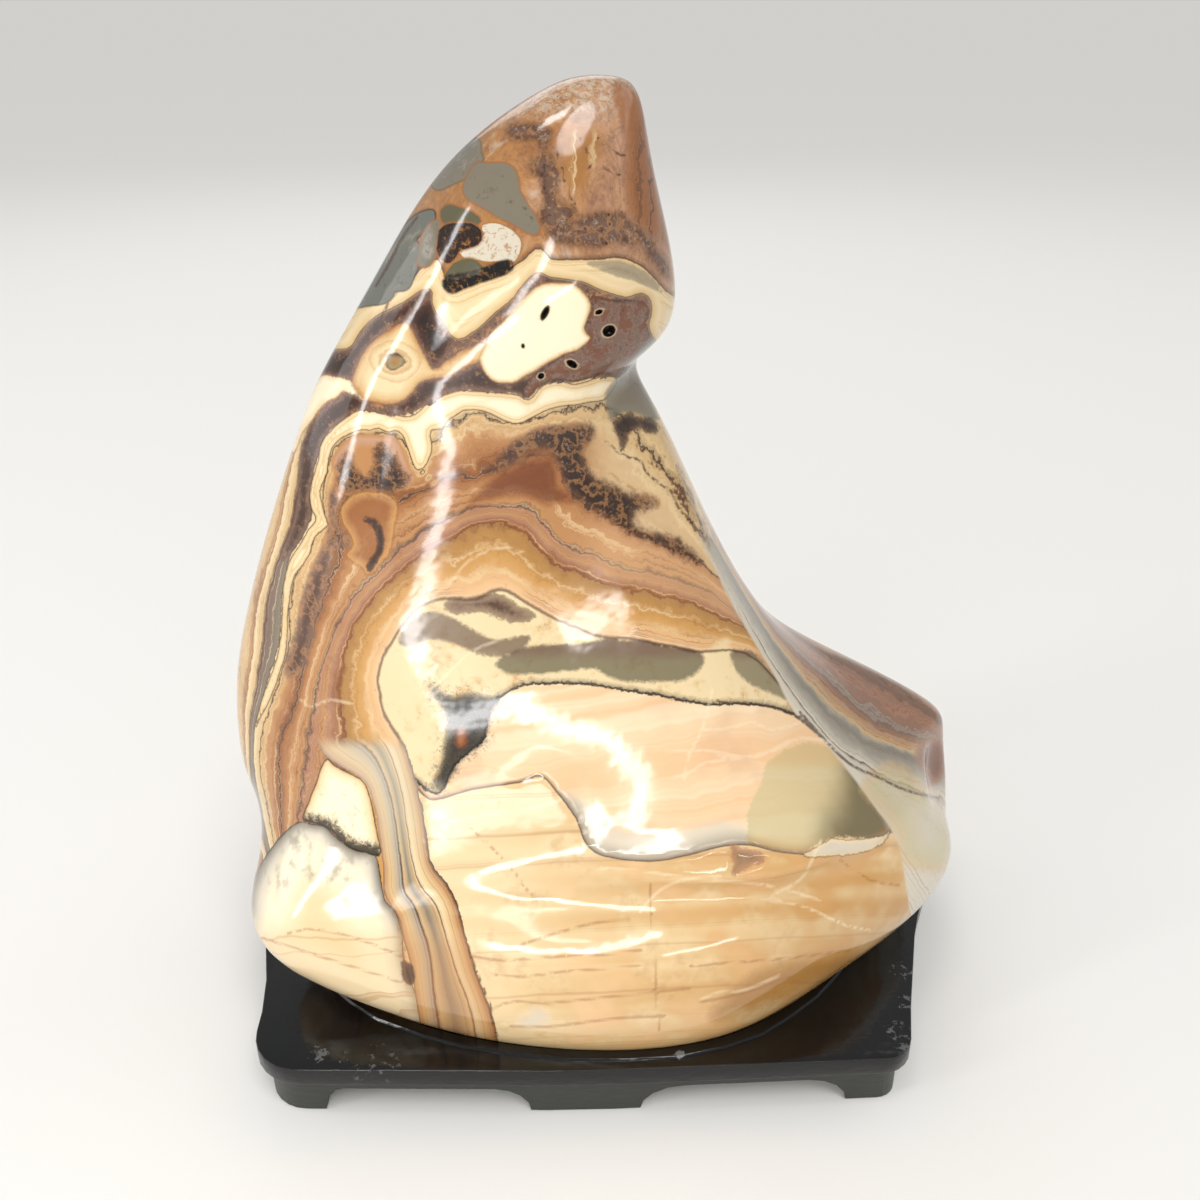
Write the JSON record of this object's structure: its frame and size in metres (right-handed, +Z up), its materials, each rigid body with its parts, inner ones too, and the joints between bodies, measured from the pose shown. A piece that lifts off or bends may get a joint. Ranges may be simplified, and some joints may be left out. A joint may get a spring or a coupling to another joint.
{
  "type": "scholars rock on stand",
  "caption": "Polished banded ornamental stone with a leaning head and a side wing, standing in the shallow socket of a low black lacquered wooden board on feet.",
  "frame": {"origin": "middle of the whole object's box, on the floor under the stand's feet", "axes": "+X to the viewer's right, towards the stone's wing; +Y away from the viewer, towards the back; +Z up"},
  "size_m": [0.2884, 0.158, 0.3385],
  "materials": {
    "banded_stone": "polished",
    "black_lacquer": "gloss"
  },
  "bodies": {
    "root": {"stone": "banded_stone", "stand": "black_lacquer"}
  },
  "joints": []
}
